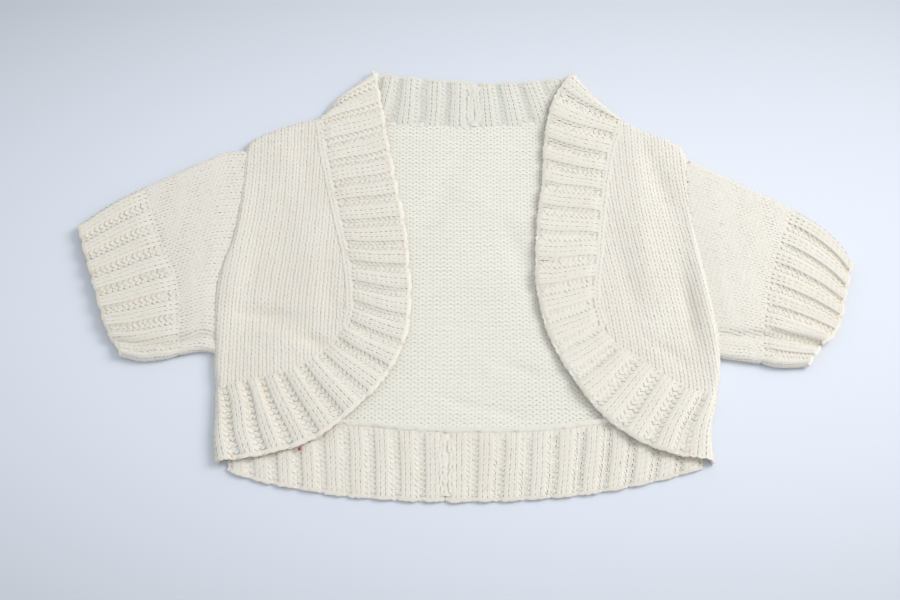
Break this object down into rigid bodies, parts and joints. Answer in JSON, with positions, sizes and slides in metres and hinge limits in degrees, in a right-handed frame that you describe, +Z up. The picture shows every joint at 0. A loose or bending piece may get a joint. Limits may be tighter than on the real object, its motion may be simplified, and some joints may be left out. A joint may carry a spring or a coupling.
{
  "type": "knit cardigan",
  "caption": "Child's open-front knit cardigan with short sleeves and a ribbed band all round, laid flat with its fronts over the back.",
  "frame": {"origin": "middle of the garment's outline, on the surface that it lies on", "axes": "+X from sleeve end to sleeve end, to the viewer's right; +Y from the hem to the neck; +Z up, away from the surface"},
  "size_m": [0.514, 0.328, 0.009],
  "materials": {
    "wool_plain": "matte cream wool, plain knit with its smooth side out",
    "wool_rib": "matte cream wool, knit in raised ribs",
    "wool_inside": "matte cream wool, plain knit with its bumpy inside up"
  },
  "bodies": {
    "root": {"back_panel": "wool_inside", "band_hem_left": "wool_rib", "band_hem_right": "wool_rib", "band_neck_left": "wool_rib", "band_neck_right": "wool_rib", "front_left": "wool_plain", "front_right": "wool_plain", "band_front_left": "wool_rib", "band_front_right": "wool_rib", "sleeve_left": "wool_plain", "sleeve_right": "wool_plain", "cuff_left": "wool_rib", "cuff_right": "wool_rib"}
  },
  "joints": []
}
